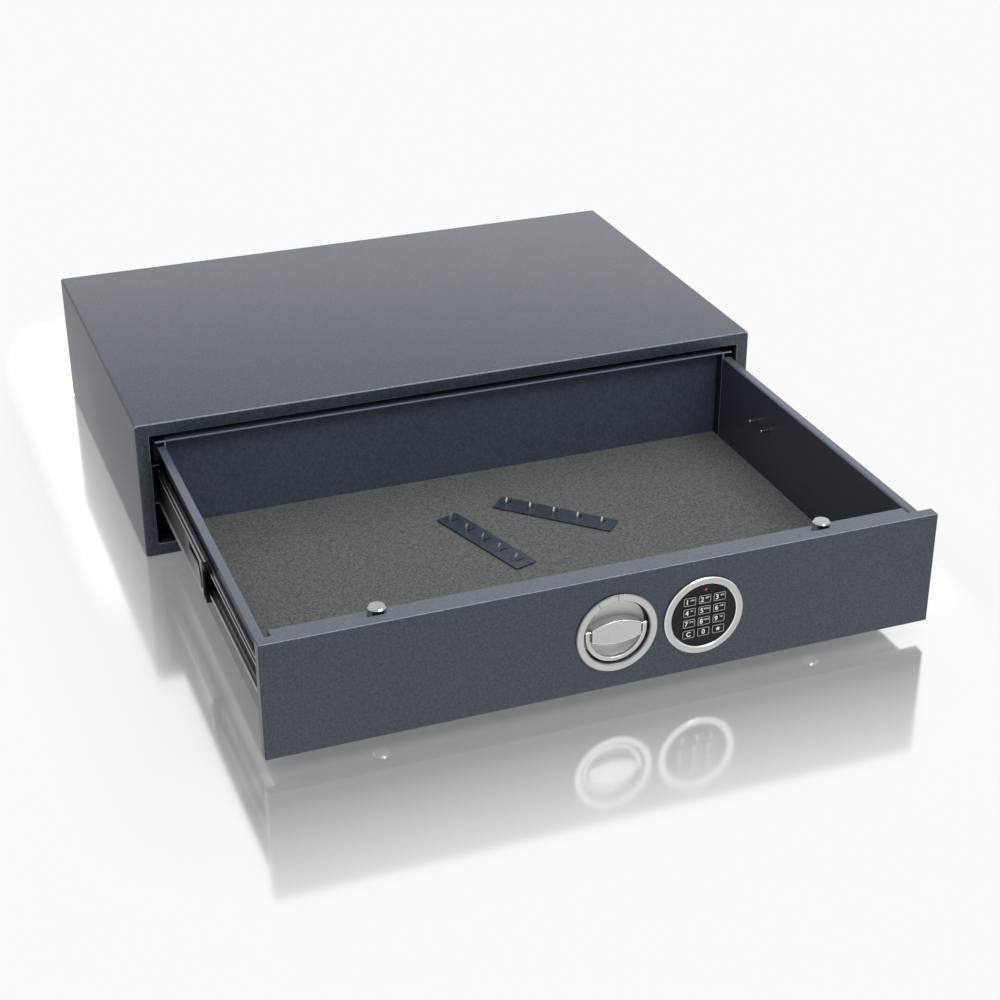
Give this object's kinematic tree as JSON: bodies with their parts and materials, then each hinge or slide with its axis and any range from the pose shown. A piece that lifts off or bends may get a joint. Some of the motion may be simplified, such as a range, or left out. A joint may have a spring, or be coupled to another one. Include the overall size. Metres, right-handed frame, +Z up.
{
  "type": "under desk drawer safe",
  "caption": "Flat steel safe with a shallow slide-out drawer, round keypad and turning handle, for fixing under a desk.",
  "frame": {"origin": "middle of the casing's flat underside", "axes": "+Z up, +Y to the casing's back, so the drawer runs out along -Y; +X to the right as seen from the front"},
  "size_m": [0.7, 0.8745, 0.153],
  "materials": {
    "slate_coat": "dark slate powder coat with a fine orange peel",
    "dark_coat": "dark blue-grey powder coat",
    "bright_zinc": "bright zinc plate",
    "plain_steel": "plain steel",
    "chrome": "polished chrome",
    "satin_nickel": "satin nickel",
    "brass": "machined brass",
    "black_plastic": "black moulded plastic",
    "key_plastic": "black keys with pale outlines and legends",
    "red_lamp": "clear red lens",
    "grey_felt": "grey-brown needle felt",
    "lead_rubber": "black insulation"
  },
  "bodies": {
    "casing": {"casing_shell": "slate_coat", "front_frame": "slate_coat", "rear_panel": "slate_coat", "slide_bracket_left": "dark_coat", "slide_bracket_right": "dark_coat", "cabinet_member_left": "bright_zinc", "cabinet_member_right": "bright_zinc"},
    "middle_slides": {"middle_member_left": "bright_zinc", "middle_member_right": "bright_zinc", "slide_bumper_left": "black_plastic", "slide_bumper_right": "black_plastic"},
    "outer_cages": {"ball_cage_outer_left": "plain_steel", "ball_cage_outer_right": "plain_steel"},
    "inner_cages": {"ball_cage_inner_left": "plain_steel", "ball_cage_inner_right": "plain_steel"},
    "drawer": {"drawer_member_left": "bright_zinc", "drawer_member_right": "bright_zinc", "drawer_tray": "dark_coat", "drawer_back_plate": "dark_coat", "front_panel": "slate_coat", "lock_housing": "dark_coat", "felt_liner": "grey_felt", "key_hook_strip_1": "dark_coat", "key_hook_strip_2": "dark_coat", "wall_stud_1": "plain_steel", "wall_stud_2": "plain_steel", "bolt_guide_left": "plain_steel", "bolt_guide_right": "plain_steel", "lock_case": "plain_steel", "knob_ring": "satin_nickel", "spindle_bush": "brass", "keypad_ring": "satin_nickel", "keypad_body": "black_plastic", "status_led": "red_lamp", "battery_box": "black_plastic", "keypad_lead": "lead_rubber", "battery_lead": "lead_rubber"},
    "handle": {"knob_dish": "satin_nickel", "grip_bridge": "satin_nickel", "spindle": "plain_steel", "pinion": "brass"},
    "bail": {"bail_handle": "satin_nickel"},
    "bar": {"locking_bar": "plain_steel"},
    "upper_bolts": {"upper_bolt_left": "chrome", "upper_bolt_right": "chrome"},
    "lower_bolts": {"lower_bolt_left": "chrome", "lower_bolt_right": "chrome"},
    "blocking_bolt": {"lock_bolt": "brass"},
    "button_1": {"key_1": "key_plastic"},
    "button_2": {"key_2": "key_plastic"},
    "button_3": {"key_3": "key_plastic"},
    "button_4": {"key_4": "key_plastic"},
    "button_5": {"key_5": "key_plastic"},
    "button_6": {"key_6": "key_plastic"},
    "button_7": {"key_7": "key_plastic"},
    "button_8": {"key_8": "key_plastic"},
    "button_9": {"key_9": "key_plastic"},
    "button_c": {"key_c": "key_plastic"},
    "button_0": {"key_0": "key_plastic"},
    "button_star": {"key_star": "key_plastic"}
  },
  "joints": [
    {"name": "drawer_slide", "type": "slide", "parent": "casing", "child": "drawer", "axis": [0, 1, 0], "range_m": [0, 0.424]},
    {"name": "middle_slide", "type": "slide", "parent": "casing", "child": "middle_slides", "axis": [0, 1, 0], "range_m": [0, 0.2221]},
    {"name": "outer_cage_roll", "type": "slide", "parent": "casing", "child": "outer_cages", "axis": [0, 1, 0], "range_m": [0, 0.1111]},
    {"name": "inner_cage_roll", "type": "slide", "parent": "casing", "child": "inner_cages", "axis": [0, 1, 0], "range_m": [0, 0.3231]},
    {"name": "handle_turn", "type": "hinge", "parent": "drawer", "child": "handle", "pos_m": [0, -0.65, 0.0765], "axis": [0, 1, 0], "range_deg": [0, 30]},
    {"name": "bar_slide", "type": "slide", "parent": "drawer", "child": "bar", "axis": [1, 0, 0], "range_m": [0, 0.0095]},
    {"name": "upper_bolts_slide", "type": "slide", "parent": "drawer", "child": "upper_bolts", "axis": [0, 0, 1], "range_m": [0, 0.0095]},
    {"name": "lower_bolts_slide", "type": "slide", "parent": "drawer", "child": "lower_bolts", "axis": [0, 0, -1], "range_m": [0, 0.0095]},
    {"name": "bail_fold", "type": "hinge", "parent": "handle", "child": "bail", "pos_m": [0, -0.648, 0.0797], "axis": [-1, 0, 0], "range_deg": [0, 90]},
    {"name": "lock_bolt_slide", "type": "slide", "parent": "drawer", "child": "blocking_bolt", "axis": [0, 0, 1], "range_m": [0, 0.0075]},
    {"name": "key_1_press", "type": "slide", "parent": "drawer", "child": "button_1", "axis": [0, 1, 0], "range_m": [0, 0.001], "stiffness_N_per_m": 300},
    {"name": "key_2_press", "type": "slide", "parent": "drawer", "child": "button_2", "axis": [0, 1, 0], "range_m": [0, 0.001], "stiffness_N_per_m": 300},
    {"name": "key_3_press", "type": "slide", "parent": "drawer", "child": "button_3", "axis": [0, 1, 0], "range_m": [0, 0.001], "stiffness_N_per_m": 300},
    {"name": "key_4_press", "type": "slide", "parent": "drawer", "child": "button_4", "axis": [0, 1, 0], "range_m": [0, 0.001], "stiffness_N_per_m": 300},
    {"name": "key_5_press", "type": "slide", "parent": "drawer", "child": "button_5", "axis": [0, 1, 0], "range_m": [0, 0.001], "stiffness_N_per_m": 300},
    {"name": "key_6_press", "type": "slide", "parent": "drawer", "child": "button_6", "axis": [0, 1, 0], "range_m": [0, 0.001], "stiffness_N_per_m": 300},
    {"name": "key_7_press", "type": "slide", "parent": "drawer", "child": "button_7", "axis": [0, 1, 0], "range_m": [0, 0.001], "stiffness_N_per_m": 300},
    {"name": "key_8_press", "type": "slide", "parent": "drawer", "child": "button_8", "axis": [0, 1, 0], "range_m": [0, 0.001], "stiffness_N_per_m": 300},
    {"name": "key_9_press", "type": "slide", "parent": "drawer", "child": "button_9", "axis": [0, 1, 0], "range_m": [0, 0.001], "stiffness_N_per_m": 300},
    {"name": "key_c_press", "type": "slide", "parent": "drawer", "child": "button_c", "axis": [0, 1, 0], "range_m": [0, 0.001], "stiffness_N_per_m": 300},
    {"name": "key_0_press", "type": "slide", "parent": "drawer", "child": "button_0", "axis": [0, 1, 0], "range_m": [0, 0.001], "stiffness_N_per_m": 300},
    {"name": "key_star_press", "type": "slide", "parent": "drawer", "child": "button_star", "axis": [0, 1, 0], "range_m": [0, 0.001], "stiffness_N_per_m": 300}
  ],
  "couplings": [
    {"joint": "middle_slide", "follows": "drawer_slide", "ratio": 0.52358},
    {"joint": "outer_cage_roll", "follows": "drawer_slide", "ratio": 0.26179},
    {"joint": "inner_cage_roll", "follows": "drawer_slide", "ratio": 0.76179},
    {"joint": "bar_slide", "follows": "handle_turn", "m_per_rad": 0.018},
    {"joint": "upper_bolts_slide", "follows": "handle_turn", "m_per_rad": 0.018},
    {"joint": "lower_bolts_slide", "follows": "handle_turn", "m_per_rad": 0.018}
  ]
}
